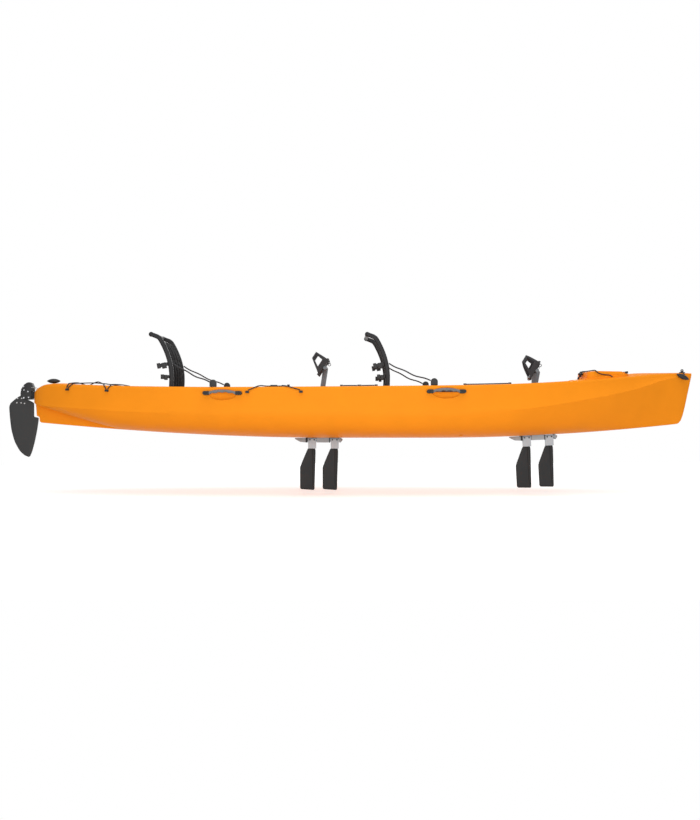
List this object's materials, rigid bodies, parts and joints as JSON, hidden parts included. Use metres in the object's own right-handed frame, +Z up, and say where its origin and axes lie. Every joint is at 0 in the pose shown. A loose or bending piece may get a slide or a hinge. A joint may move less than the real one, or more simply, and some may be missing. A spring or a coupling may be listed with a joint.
{
  "type": "tandem pedal kayak",
  "caption": "Tandem sit-on-top kayak with folding seats, pedal-driven fins under the hull, side handles, deck cords, a bow hatch and a kick-up stern rudder.",
  "frame": {"origin": "on the underside of the keel amidships", "axes": "+X towards the bow, +Y to port, +Z up"},
  "size_m": [4.6, 0.8418, 1.051],
  "materials": {
    "hull_shell": "satin rotomoulded polyethylene, orange",
    "trim": "satin black moulding",
    "seat_cover": "black woven cover over foam",
    "seat_frame": "satin black moulding",
    "shock_cord": "black braided cover",
    "line": "pale braided line",
    "seal": "black foam rubber",
    "grip": "grey moulding",
    "fin": "dark grey moulding",
    "drive_body": "grey moulding",
    "drum": "light grey moulding",
    "steel": "bare stainless steel"
  },
  "bodies": {
    "hull": {"hull": "hull_shell", "hatch_hinge": "trim", "hatch_tie_cords": "shock_cord", "round_hatch_rims": "trim", "side_handle_grips": "grip", "side_handle_ends": "trim", "handle_screws": "steel", "bow_handle": "trim", "stern_handle": "trim", "bow_tow_eye": "trim", "paddle_bungees": "shock_cord", "cargo_bungee": "shock_cord", "bungee_hooks": "trim", "rudder_bracket": "trim", "rudder_pin": "steel", "steering_lines": "line", "steering_base": "trim", "front_seat_base": "seat_cover", "rear_seat_base": "seat_cover", "front_seat_straps": "shock_cord", "rear_seat_straps": "shock_cord", "strap_anchors": "trim", "drive_shafts": "steel", "drive_chains": "steel", "front_spine": "drive_body", "front_fairing": "drive_body", "rear_spine": "drive_body", "rear_fairing": "drive_body"},
    "hatch": {"hatch_lid": "hull_shell", "hatch_seal": "seal", "hatch_bungee": "shock_cord", "hatch_toggle": "trim"},
    "front_round_lid": {"front_round_lid": "trim"},
    "rear_round_lid": {"rear_round_lid": "trim"},
    "rudder_head": {"rudder_head": "trim", "rudder_blade_pin": "steel"},
    "rudder_blade": {"rudder_blade": "fin"},
    "steering_lever": {"steering_lever": "trim"},
    "front_seat_back": {"front_seat_frame": "seat_frame", "front_seat_pad": "seat_cover", "front_seat_clips": "trim"},
    "front_crank_left": {"front_crank_left": "drive_body"},
    "front_pedal_left": {"front_pedal_left": "trim"},
    "front_crank_right": {"front_crank_right": "drive_body"},
    "front_pedal_right": {"front_pedal_right": "trim"},
    "front_fin_fore": {"front_drum_fore": "drum", "front_fin_fore": "fin"},
    "front_fin_aft": {"front_drum_aft": "drum", "front_fin_aft": "fin"},
    "rear_seat_back": {"rear_seat_frame": "seat_frame", "rear_seat_pad": "seat_cover", "rear_seat_clips": "trim"},
    "rear_crank_left": {"rear_crank_left": "drive_body"},
    "rear_pedal_left": {"rear_pedal_left": "trim"},
    "rear_crank_right": {"rear_crank_right": "drive_body"},
    "rear_pedal_right": {"rear_pedal_right": "trim"},
    "rear_fin_fore": {"rear_drum_fore": "drum", "rear_fin_fore": "fin"},
    "rear_fin_aft": {"rear_drum_aft": "drum", "rear_fin_aft": "fin"}
  },
  "joints": [
    {"name": "hatch_open", "type": "hinge", "parent": "hull", "child": "hatch", "pos_m": [1.7631, 0, 0.43697], "axis": [0, 1, 0], "range_deg": [0, 100]},
    {"name": "front_round_lid_twist", "type": "hinge", "parent": "hull", "child": "front_round_lid", "pos_m": [0.8, 0, 0.1226], "axis": [0, 0, 1], "range_deg": [0, 90]},
    {"name": "rear_round_lid_twist", "type": "hinge", "parent": "hull", "child": "rear_round_lid", "pos_m": [-0.575, 0, 0.1226], "axis": [0, 0, 1], "range_deg": [0, 90]},
    {"name": "rudder_steer", "type": "hinge", "parent": "hull", "child": "rudder_head", "pos_m": [-2.236, 0, 0.3], "axis": [0, 0, 1], "range_deg": [-40, 40], "deforming": ["steering_lines"]},
    {"name": "rudder_kick_up", "type": "hinge", "parent": "rudder_head", "child": "rudder_blade", "pos_m": [-2.285, 0, 0.268], "axis": [0, 1, 0], "range_deg": [0, 95]},
    {"name": "steering_lever_turn", "type": "hinge", "parent": "hull", "child": "steering_lever", "pos_m": [-0.62, 0.337, 0.34], "axis": [0, 0, 1], "range_deg": [-40, 40]},
    {"name": "front_seat_fold", "type": "hinge", "parent": "hull", "child": "front_seat_back", "pos_m": [0.15, 0, 0.228], "axis": [0, 1, 0], "range_deg": [0, 70], "deforming": ["front_seat_straps"]},
    {"name": "front_crank_left_swing", "type": "hinge", "parent": "hull", "child": "front_crank_left", "pos_m": [1.13798, 0, 0.20391], "axis": [0, 1, 0], "range_deg": [-28, 28]},
    {"name": "front_pedal_left_tilt", "type": "hinge", "parent": "front_crank_left", "child": "front_pedal_left", "pos_m": [1.1827, 0.102, 0.43971], "axis": [0, 1, 0], "range_deg": [-25, 25]},
    {"name": "front_crank_right_swing", "type": "hinge", "parent": "hull", "child": "front_crank_right", "pos_m": [1.13798, 0, 0.20391], "axis": [0, 1, 0], "range_deg": [-28, 28]},
    {"name": "front_pedal_right_tilt", "type": "hinge", "parent": "front_crank_right", "child": "front_pedal_right", "pos_m": [1.14317, -0.102, 0.44385], "axis": [0, 1, 0], "range_deg": [-25, 25]},
    {"name": "front_fin_fore_sweep", "type": "hinge", "parent": "hull", "child": "front_fin_fore", "pos_m": [1.1757, 0, 0.00299], "axis": [0.9988, 0, 0.0482], "range_deg": [-80, 80]},
    {"name": "front_fin_aft_sweep", "type": "hinge", "parent": "hull", "child": "front_fin_aft", "pos_m": [1.1757, 0, 0.00299], "axis": [0.9988, 0, 0.0482], "range_deg": [-80, 80]},
    {"name": "rear_seat_fold", "type": "hinge", "parent": "hull", "child": "rear_seat_back", "pos_m": [-1.262, 0, 0.228], "axis": [0, 1, 0], "range_deg": [0, 70], "deforming": ["rear_seat_straps"]},
    {"name": "rear_crank_left_swing", "type": "hinge", "parent": "hull", "child": "rear_crank_left", "pos_m": [-0.29751, 0, 0.1881], "axis": [0, 1, 0], "range_deg": [-28, 28]},
    {"name": "rear_pedal_left_tilt", "type": "hinge", "parent": "rear_crank_left", "child": "rear_pedal_left", "pos_m": [-0.2557, 0.102, 0.46294], "axis": [0, 1, 0], "range_deg": [-25, 25]},
    {"name": "rear_crank_right_swing", "type": "hinge", "parent": "hull", "child": "rear_crank_right", "pos_m": [-0.29751, 0, 0.1881], "axis": [0, 1, 0], "range_deg": [-28, 28]},
    {"name": "rear_pedal_right_tilt", "type": "hinge", "parent": "rear_crank_right", "child": "rear_pedal_right", "pos_m": [-0.2557, -0.102, 0.46294], "axis": [0, 1, 0], "range_deg": [-25, 25]},
    {"name": "rear_fin_fore_sweep", "type": "hinge", "parent": "hull", "child": "rear_fin_fore", "pos_m": [-0.27004, 0, -0.01447], "axis": [1, 0, -0.0026], "range_deg": [-80, 80]},
    {"name": "rear_fin_aft_sweep", "type": "hinge", "parent": "hull", "child": "rear_fin_aft", "pos_m": [-0.27004, 0, -0.01447], "axis": [1, 0, -0.0026], "range_deg": [-80, 80]}
  ],
  "couplings": [
    {"joint": "steering_lever_turn", "follows": "rudder_steer", "ratio": 1},
    {"joint": "front_fin_fore_sweep", "follows": "front_crank_left_swing", "ratio": 2.85},
    {"joint": "front_fin_aft_sweep", "follows": "front_crank_left_swing", "ratio": -2.85},
    {"joint": "front_crank_right_swing", "follows": "front_crank_left_swing", "ratio": -1},
    {"joint": "rear_fin_fore_sweep", "follows": "rear_crank_left_swing", "ratio": 2.85},
    {"joint": "rear_fin_aft_sweep", "follows": "rear_crank_left_swing", "ratio": -2.85},
    {"joint": "rear_crank_right_swing", "follows": "rear_crank_left_swing", "ratio": -1}
  ]
}
